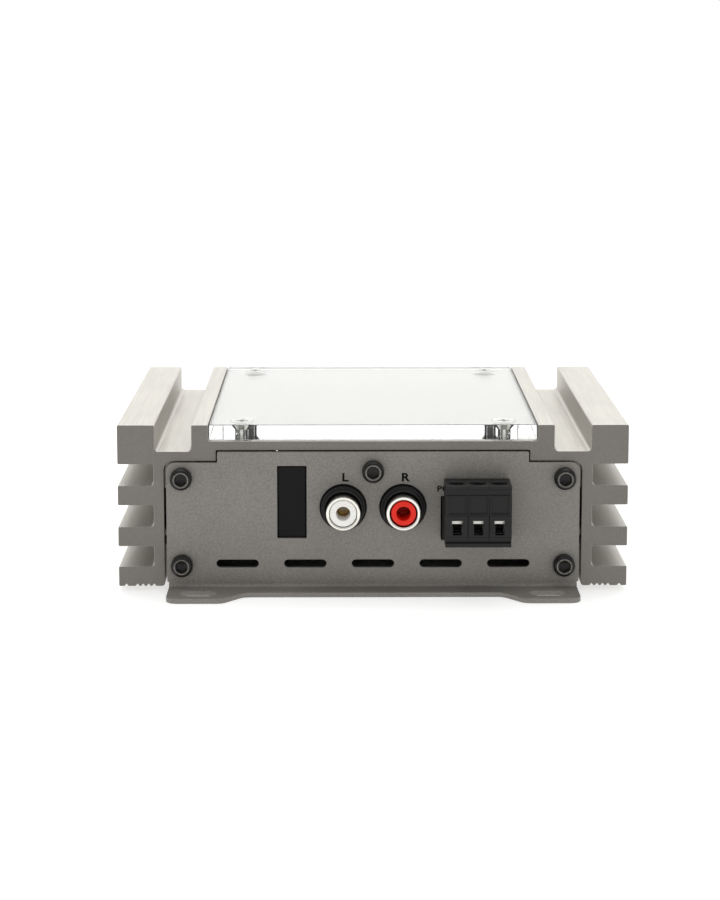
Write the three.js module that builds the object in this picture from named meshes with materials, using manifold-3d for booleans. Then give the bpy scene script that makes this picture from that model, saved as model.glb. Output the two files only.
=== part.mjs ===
// A compact in-vehicle audio unit: a finned aluminium extrusion with a clear acrylic top plate,
// two bent sheet end panels with mounting flanges, phono jacks, a pluggable power terminal, a
// modular socket for a remote volume knob, and the circuit board with its large components.
// Millimetres, +Z up. X is the width, the front panel faces -Y, the rear panel faces +Y.
// The flange undersides lie at z = 0 and the origin is at the middle of the footprint.
import * as THREE from 'three';
import { mergeVertices } from 'three/addons/utils/BufferGeometryUtils.js';
import Module from 'manifold-3d';

const wasm = await Module();
wasm.setup();

// ---- Driving dimensions ----
const GAP = 0.3; // clearance between neighbouring pieces
const PAST = 1; // how far a cutting tool runs past the face that it cuts
const ROUND = 20; // sides of the large round shapes
const ROUND_SMALL = 12; // sides of screws and small bores

const SHEET = 1.2; // end panel sheet thickness
const BASE = SHEET; // the extrusion hangs one sheet thickness above the mounting surface
const WIDTH = 124; // over the fins
const HEIGHT = 40; // of the extrusion
const LENGTH = 83; // of the extrusion, along Y
const TOP = BASE + HEIGHT;
const HALF_WIDTH = WIDTH / 2;
const HALF_LENGTH = LENGTH / 2;

// Extrusion section: half widths from the middle, and heights worked from the top
const RECESS_HALF = 40; // recess for the top plate
const RECESS_DEPTH = 4;
const DECK_UNDER = TOP - 6.2; // underside of the thin deck below the top plate
const RAIL_OUT = 44; // outer side of the rail beside the recess
const GROOVE_OUT = 53; // outer side of the U groove
const GROOVE_FLOOR = TOP - 6.5;
const GROOVE_RADIUS = 0.9;
const SHOULDER_IN = 38.1; // where the deck thickens into the shoulder
const SHOULDER_UNDER = TOP - 8.85;
const WALL_IN = 50.8; // side wall, inner and outer face
const WALL_OUT = 53.3;
const CAVITY_RADIUS = 2.3; // inner top corner
const BLOCK_UNDER = TOP - 9.65; // underside of the solid block above the fins
const FINS = [[14.95, 19.8], [25.2, 30.0], [35.1, HEIGHT]]; // depths of each fin's top and bottom
const NOTCHES = [60.2, 57.5, 56.15, 54.8, 53.45]; // centres of the V notches under the lowest fin
const NOTCH_HALF = 0.5;
const NOTCH_DEPTH = 0.6;

// M3 screws, threads drawn as smooth shanks
const SHANK = 1.2; // radius of the shank
const THREAD_HOLE = SHANK + GAP; // radius of a tapped hole
const CLEAR_HOLE = 1.7; // radius of a clearance hole in sheet
const CAP_HEAD = { radius: 2.7, height: 2.4, edge: 0.35, socket: 1.45, socketDepth: 1.4 };
const FLAT_HEAD = { radius: 2.8, rim: 0.2, depth: 1.6, recess: 1.4, recessHalf: 0.4, recessDepth: 1 };
const SCREW_LENGTH = { panel: 8, jack: 7, plate: 7, cover: 6 };

// Screw channels and board slots inside the extrusion
const CORNER_X = 46.5;
const CORNER_HIGH = BASE + 27;
const CORNER_LOW = BASE + 5.45;
const CHANNEL_HALF = 3.3;
const BOARD = { half: 50, halfLength: 39.5, thick: 1.6, under: 11.2 };
const BOARD_TOP = BOARD.under + BOARD.thick;
const RIB = 1.5; // thickness of the ribs above and below the board
const RIB_IN = 48.9;

// End panels
const PANEL_FACE = HALF_LENGTH + 0.6; // the sheet stands a little proud of the extrusion
const PANEL_BACK = PANEL_FACE - SHEET;
const PANEL_HALF = 50.2;
const PANEL_STEP = SHOULDER_IN - GAP;
const PANEL_TOP = DECK_UNDER - GAP;
const PANEL_SIDE_TOP = SHOULDER_UNDER - GAP;
const PANEL_RADIUS = 2.1;
const POCKET_GROW = 0.1; // the extrusion's end pocket is this much larger than the panel
const BEND_INNER = 0.8;
const BEND_OUTER = BEND_INNER + SHEET;
const BEND_OVERLAP = 0.5; // how far the bend runs into the flat sheet above it
const BEND_HALF = 49.8;
const FLANGE_DEEP = 10.8; // reach of the mounting tabs from the panel face
const FLANGE_SHALLOW = 5.4;
const TAB_IN = 36.2;
const TAB_FOOT = 31.3; // where the tab's slope meets the shallow middle
const TAB_RADIUS = 2.5;
const TAB_SLOT = { x: 42.3, reach: 6, length: 8.9, width: 4 };
const VENT = { count: 5, pitch: 16.5, z: BASE + 5.75, length: 10.3, width: 1.95 };

// Phono jacks
const JACK_Z = BASE + 19.8;
const JACK_SCREW_Z = BASE + 28.8;
const JACK_PITCH = 14.5;
const JACK_X = { front: [0], rear: [28.6, -9.5] };
const BOSS = { radius: 5.4, proud: 1.5 };
const COLLAR = { radius: 4.9, proud: 3.4 }; // raised step round each sleeve
const SLEEVE = { radius: 4.125, bore: 3.35, proud: 7, edge: 0.3 };
const INSULATOR = { radius: 3.05, hole: 1.7, shy: 0.4, holeDepth: 8 };
const JACK_SEAT = 38.3; // distance from the middle at which sleeve and insulator are seated
const JACK_BODY = { half: 13.4, back: 29, top: 33.2, columnHalf: 4.2, shoulder: 27.2 };

// Blank window insert
const WINDOW = { x: -19.7, z: 22.25, width: 7.1, height: 17.9, depth: 6, lip: 1.4, recess: 0.3 };

// Pluggable power terminal; front and back are distances from the middle
const TERMINAL_X = 25.1;
const POLE_PITCH = 5.08;
const PLUG = { half: 7.9, low: 13.2, high: 28.2, front: 51.3, back: 42.6 };
const TONGUE = { half: 7, low: 14.1, high: 21.9, back: 34 };
const HEADER = { half: 8.3, low: 13.1, high: 23.4, front: 42, back: 29, wall: 0.9, floor: 32 };
const WIRE_HOLE = { half: 1.3, low: 16.3, high: 19.8 };
const CAGE_ROOM = { half: 1.95, low: 14.7, high: 23.9, front: 49.9, back: 44.9 };
const CAGE = { half: 1.6, low: 15.2, high: 19.7, bar: 1.1, side: 0.5, depth: 3.6 };
const CLAMP_Y = 47.4;
const CLAMP_SCREW = { head: 1.6, headLow: 25, headHigh: 26.7, shank: 0.9, end: 18.9 };
const DRIVER_SLOT = { width: 0.6, depth: 0.8 };
const HEADER_PIN = { half: 0.5, z: 18, tip: 39.5, tail: 27.4 };

// Modular socket
const SOCKET = { x: -32.85, half: 6.45, low: 13.1, high: 27.6, face: 42, back: 24 };
const SOCKET_ROOM = { half: 4.65, low: 15.6, high: 23.3, back: 29 };
const LATCH_STEPS = [{ half: 3, high: 25.1 }, { half: 1.65, high: 26.8 }];
const CONTACT = { pitch: 1.02, count: 4, half: 0.2, rise: 3, carrierHalf: 3.4, carrierThick: 0.6 };

// Top plate and bottom cover
const PLATE_SCREW = { x: 32, y: 35.8 };
const COVER = { half: 49.9, halfLength: 40.5, low: 1.5, thick: 1.5 };
const COVER_SCREW = { x: CORNER_X, y: 25 };

// Large components on the board
const TOROID = { inner: 4.5, outer: 11, tall: 9, edge: 1.5, x: -14, y: -2 };
const CAPACITOR = { radius: 5, tall: 16, edge: 0.6, x: [10, 22], y: -6 };
const TRANSISTOR = { half: 5, low: 2, body: 8.5, tab: 11.5, thick: 4.5, tabThick: 1.3 };
const LEADS = { half: 3, outer: 2.4, inner: 3.6 };
const CHIP = { half: 4, from: 12, to: 22, tall: 3 };

// ---- Geometry helpers ----
const { Manifold, Mesh: SolidMesh } = wasm;

function solid(geometry) {
  const bare = geometry.index ? geometry.toNonIndexed() : geometry.clone();
  bare.deleteAttribute('normal');
  bare.deleteAttribute('uv');
  const welded = mergeVertices(bare, 1e-4);
  const index = welded.getIndex().array;
  const triangles = [];
  for (let t = 0; t < index.length; t += 3) {
    const [a, b, c] = index.slice(t, t + 3);
    if (a !== b && b !== c && c !== a) triangles.push(a, b, c);
  }
  const vertProperties = welded.getAttribute('position').array;
  const triVerts = Uint32Array.from(triangles);
  return new Manifold(new SolidMesh({ numProp: 3, vertProperties, triVerts }));
}

function geometryOf(body) {
  const mesh = body.getMesh();
  const geometry = new THREE.BufferGeometry();
  geometry.setAttribute('position', new THREE.BufferAttribute(mesh.vertProperties, 3));
  geometry.setIndex(new THREE.BufferAttribute(mesh.triVerts, 1));
  geometry.computeVertexNormals();
  return geometry;
}

const joined = (first, ...others) => others.reduce((body, other) => body.add(other), first);
const cut = (first, ...others) => others.reduce((body, other) => body.subtract(other), first);
const ordered = (a, b) => [Math.min(a, b), Math.max(a, b)];

function box(x0, x1, y0, y1, z0, z1) {
  const block = new THREE.BoxGeometry(x1 - x0, y1 - y0, z1 - z0);
  block.translate((x0 + x1) / 2, (y0 + y1) / 2, (z0 + z1) / 2);
  return solid(block);
}

const extruded = (shape, depth, curveSegments = 4) =>
  new THREE.ExtrudeGeometry(shape, { depth, bevelEnabled: false, curveSegments });

// An outline drawn in X and Z, carried along Y from y0 to y1
const alongY = (shape, y0, y1) =>
  solid(extruded(shape, y1 - y0).rotateX(Math.PI / 2).translate(0, y1, 0));

// An outline drawn in X and Y, carried up from z0 to z1
const alongZ = (shape, z0, z1) => solid(extruded(shape, z1 - z0).translate(0, 0, z0));

// An outline drawn in Y and Z, carried along X from -half to half
function alongX(shape, half) {
  const [x, y, z] = [0, 1, 2].map((axis) => new THREE.Vector3().setComponent(axis, 1));
  const turn = new THREE.Matrix4().makeBasis(y, z, x);
  return solid(extruded(shape, 2 * half).translate(0, 0, -half).applyMatrix4(turn));
}

const rodY = (x, z, radius, y0, y1, sides = ROUND_SMALL) =>
  solid(new THREE.CylinderGeometry(radius, radius, y1 - y0, sides).translate(x, (y0 + y1) / 2, z));

const rodZ = (x, y, radius, z0, z1, sides = ROUND_SMALL) =>
  solid(new THREE.CylinderGeometry(radius, radius, z1 - z0, sides)
    .rotateX(Math.PI / 2).translate(x, y, (z0 + z1) / 2));

// A straight slot with full round ends
function slotShape(x, y, length, width) {
  const half = (length - width) / 2;
  const shape = new THREE.Shape();
  shape.absarc(x + half, y, width / 2, -Math.PI / 2, Math.PI / 2, false);
  shape.absarc(x - half, y, width / 2, Math.PI / 2, 1.5 * Math.PI, false);
  return shape;
}

// A profile of [radius, height] points turned about the Z axis
function turned(points, sides = ROUND_SMALL) {
  const profile = points.map(([radius, height]) => new THREE.Vector2(radius, height));
  return solid(new THREE.LatheGeometry(profile, sides).rotateX(Math.PI / 2));
}

// ---- Materials ----
const finish = (color, roughness, metalness) =>
  new THREE.MeshStandardMaterial({ color, roughness, metalness });

const extrusionMetal = finish(0xb9b5ae, 0.45, 0.9);
const panelPaint = finish(0x8c8883, 0.55, 0.5);
const acrylic = new THREE.MeshStandardMaterial({
  color: 0xf4f6f2, roughness: 0.05, metalness: 0, transparent: true, opacity: 0.45,
});
const stainless = finish(0xc9c8c4, 0.3, 1);
const blackSteel = finish(0x1b1b1c, 0.4, 0.8);
const nickel = finish(0xd9d7d0, 0.18, 1);
const blackPlastic = finish(0x1a1a1b, 0.5, 0);
const whitePlastic = finish(0xefeeea, 0.35, 0);
const redPlastic = finish(0xcf2b1f, 0.35, 0);
const platedSteel = finish(0xb8b6b0, 0.35, 1);
const tinned = finish(0xc4c2bb, 0.35, 1);
const goldPlate = finish(0xc9a24a, 0.3, 1);
const boardGreen = finish(0x1f4a2e, 0.5, 0);
const copperWinding = finish(0xa4562a, 0.35, 0.8);
const foil = finish(0x23262c, 0.4, 0.1);
const epoxy = finish(0x202022, 0.6, 0);

const unit = new THREE.Group();

function piece(name, body, material, place = {}) {
  const mesh = new THREE.Mesh(geometryOf(body), material);
  mesh.name = name;
  mesh.position.set(place.x ?? 0, place.y ?? 0, place.z ?? 0);
  mesh.rotation.set(place.turnX ?? 0, 0, place.turnZ ?? 0);
  unit.add(mesh);
}

// The two ends: which way each faces, and the turn that points +Z out of it
const ENDS = {
  front: { sign: -1, turnX: Math.PI / 2 },
  rear: { sign: 1, turnX: -Math.PI / 2 },
};
const CORNERS = [CORNER_HIGH, CORNER_LOW].flatMap((z) => [-CORNER_X, CORNER_X].map((x) => ({ x, z })));

// ---- Heatsink extrusion ----
// One half of the section as a closed outline; side -1 mirrors it
function extrusionHalf(side) {
  const shape = new THREE.Shape();
  const line = (x, z) => shape.lineTo(side * x, z);
  const arc = (x, z, radius, from, to) => {
    const mirrored = (angle) => (side > 0 ? angle : Math.PI - angle);
    shape.absarc(side * x, z, radius, mirrored(from), mirrored(to), side < 0);
  };
  const grooveTurn = GROOVE_FLOOR + GROOVE_RADIUS;
  shape.moveTo(0, TOP - RECESS_DEPTH);
  line(RECESS_HALF, TOP - RECESS_DEPTH);
  line(RECESS_HALF, TOP);
  line(RAIL_OUT, TOP);
  arc(RAIL_OUT + GROOVE_RADIUS, grooveTurn, GROOVE_RADIUS, Math.PI, 1.5 * Math.PI);
  arc(GROOVE_OUT - GROOVE_RADIUS, grooveTurn, GROOVE_RADIUS, 1.5 * Math.PI, 2 * Math.PI);
  line(GROOVE_OUT, TOP);
  line(HALF_WIDTH, TOP);
  line(HALF_WIDTH, BLOCK_UNDER);
  line(WALL_OUT, BLOCK_UNDER);
  for (const [upper, lower] of FINS) {
    line(WALL_OUT, TOP - upper);
    line(HALF_WIDTH, TOP - upper);
    line(HALF_WIDTH, TOP - lower);
    if (lower < HEIGHT) line(WALL_OUT, TOP - lower);
  }
  for (const notch of NOTCHES) {
    line(notch + NOTCH_HALF, BASE);
    line(notch, BASE + NOTCH_DEPTH);
    line(notch - NOTCH_HALF, BASE);
  }
  line(WALL_IN, BASE);
  arc(WALL_IN - CAVITY_RADIUS, SHOULDER_UNDER - CAVITY_RADIUS, CAVITY_RADIUS, 0, Math.PI / 2);
  line(SHOULDER_IN, SHOULDER_UNDER);
  line(SHOULDER_IN, DECK_UNDER);
  line(0, DECK_UNDER);
  shape.closePath();
  return alongY(shape, -HALF_LENGTH, HALF_LENGTH);
}

// Screw channels and board ribs on the inner face of one side wall
function innerRibs(side) {
  const rib = (inner, low, high) => {
    const [x0, x1] = ordered(side * inner, side * (WALL_IN + PAST));
    return box(x0, x1, -HALF_LENGTH, HALF_LENGTH, low, high);
  };
  const channelIn = CORNER_X - CHANNEL_HALF;
  return joined(
    rib(channelIn, CORNER_HIGH - CHANNEL_HALF, SHOULDER_UNDER + PAST),
    rib(channelIn, COVER.low + COVER.thick + GAP, CORNER_LOW + CHANNEL_HALF),
    rib(RIB_IN, BOARD.under - GAP - RIB, BOARD.under - GAP),
    rib(RIB_IN, BOARD_TOP + GAP, BOARD_TOP + GAP + RIB),
  );
}

// Outline of an end panel's flat sheet above its bend, grown outwards by a clearance
function panelShape(grow, low) {
  const half = PANEL_HALF + grow;
  const step = PANEL_STEP + grow;
  const turnX = half - PANEL_RADIUS;
  const turnZ = PANEL_SIDE_TOP + grow - PANEL_RADIUS;
  const shape = new THREE.Shape();
  shape.moveTo(-half, low);
  shape.lineTo(half, low);
  shape.absarc(turnX, turnZ, PANEL_RADIUS, 0, Math.PI / 2, false);
  shape.lineTo(step, PANEL_SIDE_TOP + grow);
  shape.lineTo(step, PANEL_TOP + grow);
  shape.lineTo(-step, PANEL_TOP + grow);
  shape.lineTo(-step, PANEL_SIDE_TOP + grow);
  shape.absarc(-turnX, turnZ, PANEL_RADIUS, Math.PI / 2, Math.PI, false);
  shape.closePath();
  return shape;
}

function heatsink() {
  const body = joined(extrusionHalf(1), extrusionHalf(-1), innerRibs(1), innerRibs(-1));
  const end = HALF_LENGTH + PAST;
  const pocketEnd = PANEL_BACK - GAP;
  const pocket = panelShape(POCKET_GROW, BASE + NOTCH_DEPTH);
  const removed = [alongY(pocket, -end, -pocketEnd), alongY(pocket, pocketEnd, end)];
  for (const { x, z } of CORNERS) removed.push(rodY(x, z, THREAD_HOLE, -end, end));
  const channelTop = CORNER_LOW + CHANNEL_HALF + PAST;
  for (const x of [-1, 1]) {
    for (const y of [-1, 1]) {
      const plate = [x * PLATE_SCREW.x, y * PLATE_SCREW.y];
      const cover = [x * COVER_SCREW.x, y * COVER_SCREW.y];
      removed.push(rodZ(...plate, THREAD_HOLE, DECK_UNDER - PAST, TOP));
      removed.push(rodZ(...cover, THREAD_HOLE, BASE, channelTop));
    }
  }
  return cut(body, ...removed);
}
piece('heatsink', heatsink(), extrusionMetal);

// ---- Screws ----
// Socket cap screw: the head's underside is at z = 0 and the shank points down
function capScrew(length) {
  const { radius, height, edge, socket, socketDepth } = CAP_HEAD;
  const body = turned([
    [0, -length], [SHANK, -length], [SHANK, 0], [radius, 0],
    [radius, height - edge], [radius - edge, height], [0, height],
  ]);
  return cut(body, rodZ(0, 0, socket, height - socketDepth, height + PAST, 6));
}

// Countersunk cross-recess screw: the head's flat top is at z = 0 and the shank points down
function flatScrew(length) {
  const { radius, rim, depth, recess, recessHalf, recessDepth } = FLAT_HEAD;
  const body = turned([
    [0, -length], [SHANK, -length], [SHANK, -depth], [radius, -rim], [radius, 0], [0, 0],
  ]);
  return cut(
    body,
    box(-recess, recess, -recessHalf, recessHalf, -recessDepth, PAST),
    box(-recessHalf, recessHalf, -recess, recess, -recessDepth, PAST),
  );
}

// The hole such a screw needs through a plate, opening upwards at z = 0
function countersink(through) {
  const { radius, rim, depth } = FLAT_HEAD;
  return turned([
    [0, -through], [THREAD_HOLE, -through], [THREAD_HOLE, -depth - GAP],
    [radius + GAP, -rim - GAP], [radius + GAP, PAST], [0, PAST],
  ]);
}

const panelScrew = capScrew(SCREW_LENGTH.panel);
for (const [end, { sign, turnX }] of Object.entries(ENDS)) {
  CORNERS.forEach(({ x, z }, index) => {
    const place = { x: -sign * x, y: sign * (PANEL_FACE + GAP), z, turnX };
    piece(`${end}_panel_screw_${index + 1}`, panelScrew, blackSteel, place);
  });
}

// ---- End panels ----
// One mounting tab in plan: a slope out from the shallow flange and a rounded outer corner
function tabShape(side, sign) {
  const at = (x, reach) => [side * x, sign * (PANEL_FACE + reach)];
  const shape = new THREE.Shape();
  shape.moveTo(...at(TAB_FOOT, BEND_INNER));
  shape.lineTo(...at(TAB_FOOT, FLANGE_SHALLOW));
  shape.lineTo(...at(TAB_IN, FLANGE_DEEP));
  shape.lineTo(...at(BEND_HALF - TAB_RADIUS, FLANGE_DEEP));
  shape.quadraticCurveTo(...at(BEND_HALF, FLANGE_DEEP), ...at(BEND_HALF, FLANGE_DEEP - TAB_RADIUS));
  shape.lineTo(...at(BEND_HALF, BEND_INNER));
  shape.closePath();
  return shape;
}

// Section of the bend between the upright sheet and the flange
function bendShape(sign) {
  const centre = sign * (PANEL_FACE + BEND_INNER);
  const flat = centre + sign * BEND_OVERLAP;
  const upright = sign > 0 ? Math.PI : 0;
  const above = BEND_OUTER + BEND_OVERLAP;
  const shape = new THREE.Shape();
  shape.moveTo(sign * PANEL_BACK, above);
  shape.absarc(centre, BEND_OUTER, BEND_OUTER, upright, sign > 0 ? 1.5 * Math.PI : -Math.PI / 2, sign < 0);
  shape.lineTo(flat, 0);
  shape.lineTo(flat, SHEET);
  shape.absarc(centre, BEND_OUTER, BEND_INNER, sign > 0 ? 1.5 * Math.PI : -Math.PI / 2, upright, sign > 0);
  shape.lineTo(sign * PANEL_FACE, above);
  shape.closePath();
  return shape;
}

function endPanel(sign, cutouts) {
  const [inner, outer] = ordered(sign * PANEL_BACK, sign * PANEL_FACE);
  const [from, to] = [inner - PAST, outer + PAST];
  const [root, edge] = ordered(sign * (PANEL_FACE + BEND_INNER), sign * (PANEL_FACE + FLANGE_SHALLOW));
  const body = joined(
    alongY(panelShape(0, BEND_OUTER), inner, outer),
    alongX(bendShape(sign), BEND_HALF),
    box(-BEND_HALF, BEND_HALF, root, edge, 0, SHEET),
    alongZ(tabShape(-1, sign), 0, SHEET),
    alongZ(tabShape(1, sign), 0, SHEET),
  );
  const holes = CORNERS.map(({ x, z }) => rodY(x, z, CLEAR_HOLE, from, to));
  for (let index = 0; index < VENT.count; index += 1) {
    const x = (index - (VENT.count - 1) / 2) * VENT.pitch;
    holes.push(alongY(slotShape(x, VENT.z, VENT.length, VENT.width), from, to));
  }
  for (const side of [-1, 1]) {
    const slot = slotShape(side * TAB_SLOT.x, sign * (PANEL_FACE + TAB_SLOT.reach),
      TAB_SLOT.length, TAB_SLOT.width);
    holes.push(alongZ(slot, -PAST, SHEET + PAST));
  }
  return cut(body, ...holes, ...cutouts.map((cutout) => cutout(from, to)));
}

// Cutouts are tools that still need the two faces between which they cut
const roundCutout = (x, z, radius, sides) => (from, to) => rodY(x, z, radius, from, to, sides);
const squareCutout = (x, half, low, high) => (from, to) => box(x - half, x + half, from, to, low, high);
const jackCutouts = (x) => [
  roundCutout(x - JACK_PITCH / 2, JACK_Z, BOSS.radius + GAP, ROUND),
  roundCutout(x + JACK_PITCH / 2, JACK_Z, BOSS.radius + GAP, ROUND),
  roundCutout(x, JACK_SCREW_Z, CLEAR_HOLE, ROUND_SMALL),
];
const windowLow = WINDOW.z - WINDOW.height / 2;
const windowHigh = WINDOW.z + WINDOW.height / 2;

piece('front_panel', endPanel(-1, [
  ...JACK_X.front.flatMap(jackCutouts),
  squareCutout(WINDOW.x, WINDOW.width / 2, windowLow, windowHigh),
  squareCutout(TERMINAL_X, HEADER.half + GAP, HEADER.low - GAP, HEADER.high + GAP),
]), panelPaint);
piece('rear_panel', endPanel(1, [
  ...JACK_X.rear.flatMap(jackCutouts),
  squareCutout(SOCKET.x, SOCKET.half + GAP, SOCKET.low - GAP, SOCKET.high + GAP),
]), panelPaint);

// ---- Phono jacks ----
// The moulded block is drawn for the front; at the rear it is turned half way about Z
function jackBody() {
  const { half, back, top, columnHalf, shoulder } = JACK_BODY;
  const front = -PANEL_BACK + GAP;
  const rim = -PANEL_FACE - BOSS.proud;
  const tip = -PANEL_FACE - COLLAR.proud;
  const low = BOARD_TOP + GAP;
  const centres = [-JACK_PITCH / 2, JACK_PITCH / 2];
  const body = joined(
    box(-half, half, front, -back, low, shoulder),
    box(-columnHalf, columnHalf, front, -back, low, top),
    ...centres.map((x) => rodY(x, JACK_Z, BOSS.radius, rim, front + PAST, ROUND)),
    ...centres.map((x) => rodY(x, JACK_Z, COLLAR.radius, tip, rim + PAST, ROUND)),
  );
  const bore = SLEEVE.radius + GAP;
  return cut(
    body,
    ...centres.map((x) => rodY(x, JACK_Z, bore, tip - PAST, -JACK_SEAT + GAP, ROUND)),
    rodY(0, JACK_SCREW_Z, THREAD_HOLE, front - PAST, PAST - back),
  );
}

// The sleeve and the insulator stand on their seat at z = 0 with the open rim up
const jackReach = PANEL_FACE + SLEEVE.proud - JACK_SEAT;

function sleeve() {
  const { radius, bore, edge } = SLEEVE;
  return turned([
    [bore, 0], [radius, 0], [radius, jackReach - edge], [radius - edge, jackReach],
    [bore, jackReach], [bore, 0],
  ], ROUND);
}

function insulator() {
  const { radius, hole, shy, holeDepth } = INSULATOR;
  const reach = jackReach - shy;
  return turned([
    [0, 0], [radius, 0], [radius, reach], [hole, reach],
    [hole, reach - holeDepth], [0, reach - holeDepth],
  ], ROUND);
}

// Red, the right channel, is on the +X side of every pair
const jackScrew = capScrew(SCREW_LENGTH.jack);
for (const [end, { sign, turnX }] of Object.entries(ENDS)) {
  JACK_X[end].forEach((x, index) => {
    const number = index + 1;
    const turnZ = sign > 0 ? Math.PI : 0;
    const screwPlace = { x, y: sign * (PANEL_FACE + GAP), z: JACK_SCREW_Z, turnX };
    piece(`${end}_jack_body_${number}`, jackBody(), blackPlastic, { x, turnZ });
    piece(`${end}_jack_screw_${number}`, jackScrew, blackSteel, screwPlace);
    for (const [colour, side, plastic] of [['white', -1, whitePlastic], ['red', 1, redPlastic]]) {
      const place = { x: x + side * JACK_PITCH / 2, y: sign * JACK_SEAT, z: JACK_Z, turnX };
      piece(`${end}_jack_sleeve_${number}_${colour}`, sleeve(), nickel, place);
      piece(`${end}_jack_insulator_${number}_${colour}`, insulator(), plastic, place);
    }
  });
}

// ---- Blank window insert ----
// A face that fills the cutout and a wider body behind the sheet
function windowInsert() {
  const { x, width, depth, lip, recess } = WINDOW;
  const half = width / 2;
  const back = -PANEL_BACK + GAP;
  return joined(
    box(x - half + GAP, x + half - GAP, recess - PANEL_FACE, back + PAST,
      windowLow + GAP, windowHigh - GAP),
    box(x - half - lip, x + half + lip, back, back + depth, windowLow + GAP, windowHigh + lip),
  );
}
piece('window_insert', windowInsert(), blackPlastic);

// ---- Pluggable power terminal ----
const poleX = [-1, 0, 1].map((pole) => TERMINAL_X + pole * POLE_PITCH);
const pinRoom = HEADER_PIN.half + GAP;

function terminalHeader() {
  const { half, low, high, front, back, wall, floor } = HEADER;
  const [x0, x1] = [TERMINAL_X - half, TERMINAL_X + half];
  const { z } = HEADER_PIN;
  const room = box(x0 + wall, x1 - wall, -front - PAST, -floor, low + wall, high - wall);
  const slots = poleX.map((x) =>
    box(x - pinRoom, x + pinRoom, -floor - PAST, PAST - back, z - pinRoom, z + pinRoom));
  return cut(box(x0, x1, -front, -back, low, high), room, ...slots);
}
piece('terminal_header', terminalHeader(), blackPlastic);

// A straight pin through the header's back wall that turns down to the board
poleX.forEach((x, index) => {
  const { half, z, tip, tail } = HEADER_PIN;
  const pin = joined(
    box(x - half, x + half, -tip, -tail, z - half, z + half),
    box(x - half, x + half, -tail - 2 * half, -tail, BOARD_TOP + GAP, z),
  );
  piece(`terminal_pin_${index + 1}`, pin, tinned);
});

function terminalPlug() {
  const { half, low, high, front, back } = PLUG;
  const { z, tip } = HEADER_PIN;
  const [x0, x1] = [TERMINAL_X - half, TERMINAL_X + half];
  const tongue = box(TERMINAL_X - TONGUE.half, TERMINAL_X + TONGUE.half, -back - PAST,
    -TONGUE.back, TONGUE.low, TONGUE.high);
  const hollows = poleX.flatMap((x) => [
    box(x - WIRE_HOLE.half, x + WIRE_HOLE.half, -front - PAST, PAST - CAGE_ROOM.front,
      WIRE_HOLE.low, WIRE_HOLE.high),
    box(x - CAGE_ROOM.half, x + CAGE_ROOM.half, -CAGE_ROOM.front, -CAGE_ROOM.back,
      CAGE_ROOM.low, CAGE_ROOM.high),
    rodZ(x, -CLAMP_Y, CLAMP_SCREW.head + GAP, CLAMP_SCREW.headLow - GAP, high + PAST),
    rodZ(x, -CLAMP_Y, CLAMP_SCREW.shank + GAP, CAGE_ROOM.high - PAST, CLAMP_SCREW.headLow),
    box(x - pinRoom, x + pinRoom, -tip - GAP, PAST - TONGUE.back, z - pinRoom, z + pinRoom),
  ]);
  return cut(joined(box(x0, x1, -front, -back, low, high), tongue), ...hollows);
}
piece('terminal_plug', terminalPlug(), blackPlastic);

// Slotted clamp screw about Z, and the square cage that it draws up
function clampScrew() {
  const { head, headLow, headHigh, shank, end } = CLAMP_SCREW;
  const { width, depth } = DRIVER_SLOT;
  const body = turned([
    [0, end], [shank, end], [shank, headLow], [head, headLow], [head, headHigh], [0, headHigh],
  ]);
  const across = head + PAST;
  return cut(body, box(-across, across, -width / 2, width / 2, headHigh - depth, headHigh + PAST));
}

function clampCage() {
  const { half, low, high, bar, side, depth } = CAGE;
  const frame = box(-half, half, -depth / 2, depth / 2, low, high);
  const room = box(side - half, half - side, -depth, depth, low + bar, high - bar);
  return cut(frame, room, rodZ(0, 0, CLAMP_SCREW.shank + GAP, high - bar - PAST, high + PAST));
}

poleX.forEach((x, index) => {
  piece(`terminal_screw_${index + 1}`, clampScrew(), platedSteel, { x, y: -CLAMP_Y });
  piece(`terminal_cage_${index + 1}`, clampCage(), platedSteel, { x, y: -CLAMP_Y });
});

// ---- Modular socket ----
function modularSocket() {
  const { x, half, low, high, face, back } = SOCKET;
  const rooms = [SOCKET_ROOM, ...LATCH_STEPS].map((room) =>
    box(x - room.half, x + room.half, SOCKET_ROOM.back, face + PAST, SOCKET_ROOM.low, room.high));
  return cut(box(x - half, x + half, back, face, low, high), ...rooms);
}
piece('modular_socket', modularSocket(), blackPlastic);

// A moulded carrier on the socket's floor with four sprung wires that slope up to the rear
function contactInsert() {
  const { pitch, count, half, rise, carrierHalf, carrierThick } = CONTACT;
  const floor = SOCKET_ROOM.low + GAP;
  const rear = SOCKET_ROOM.back + GAP;
  const tip = SOCKET.face - 4;
  const inside = floor + carrierThick / 2;
  const wire = new THREE.Shape();
  wire.moveTo(rear + carrierThick, inside);
  wire.lineTo(tip, inside);
  wire.lineTo(tip, floor + 1.5 * carrierThick);
  wire.lineTo(rear + carrierThick, floor + rise);
  wire.closePath();
  const wires = Array.from({ length: count }, (_, index) => {
    const x = SOCKET.x + (index - (count - 1) / 2) * pitch;
    return alongX(wire, half).translate([x, 0, 0]);
  });
  const [x0, x1] = [SOCKET.x - carrierHalf, SOCKET.x + carrierHalf];
  return joined(box(x0, x1, rear, tip + PAST, floor, floor + carrierThick), ...wires);
}
piece('modular_contact_insert', contactInsert(), goldPlate);

// ---- Top plate and bottom cover ----
// Four screw places, the same distance to each side and each end
const fourPlaces = ({ x, y }) => [-y, y].flatMap((placeY) => [-x, x].map((placeX) => [placeX, placeY]));

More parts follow.
